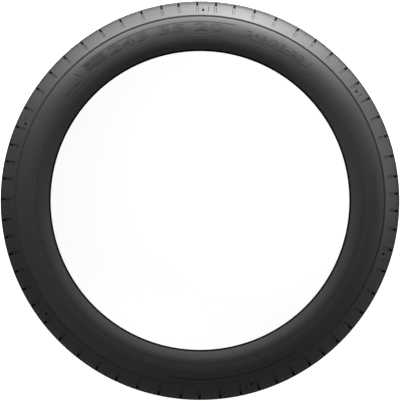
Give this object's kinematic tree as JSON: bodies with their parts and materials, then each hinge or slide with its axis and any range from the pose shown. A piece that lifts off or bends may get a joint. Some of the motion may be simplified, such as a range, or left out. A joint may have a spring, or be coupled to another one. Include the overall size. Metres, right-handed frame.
{
  "type": "car tyre",
  "caption": "Low-profile radial car tyre with four tread grooves, slotted shoulders, a rim protector and open beads.",
  "frame": {"origin": "on the axle line at the tyre's mid-plane", "axes": "+Z along the axle line towards the outboard side, +Y towards the top of the picture"},
  "size_m": [0.6794, 0.6794, 0.248],
  "materials": {
    "tyre": "satin"
  },
  "bodies": {
    "root": {"tyre": "tyre"}
  },
  "joints": []
}
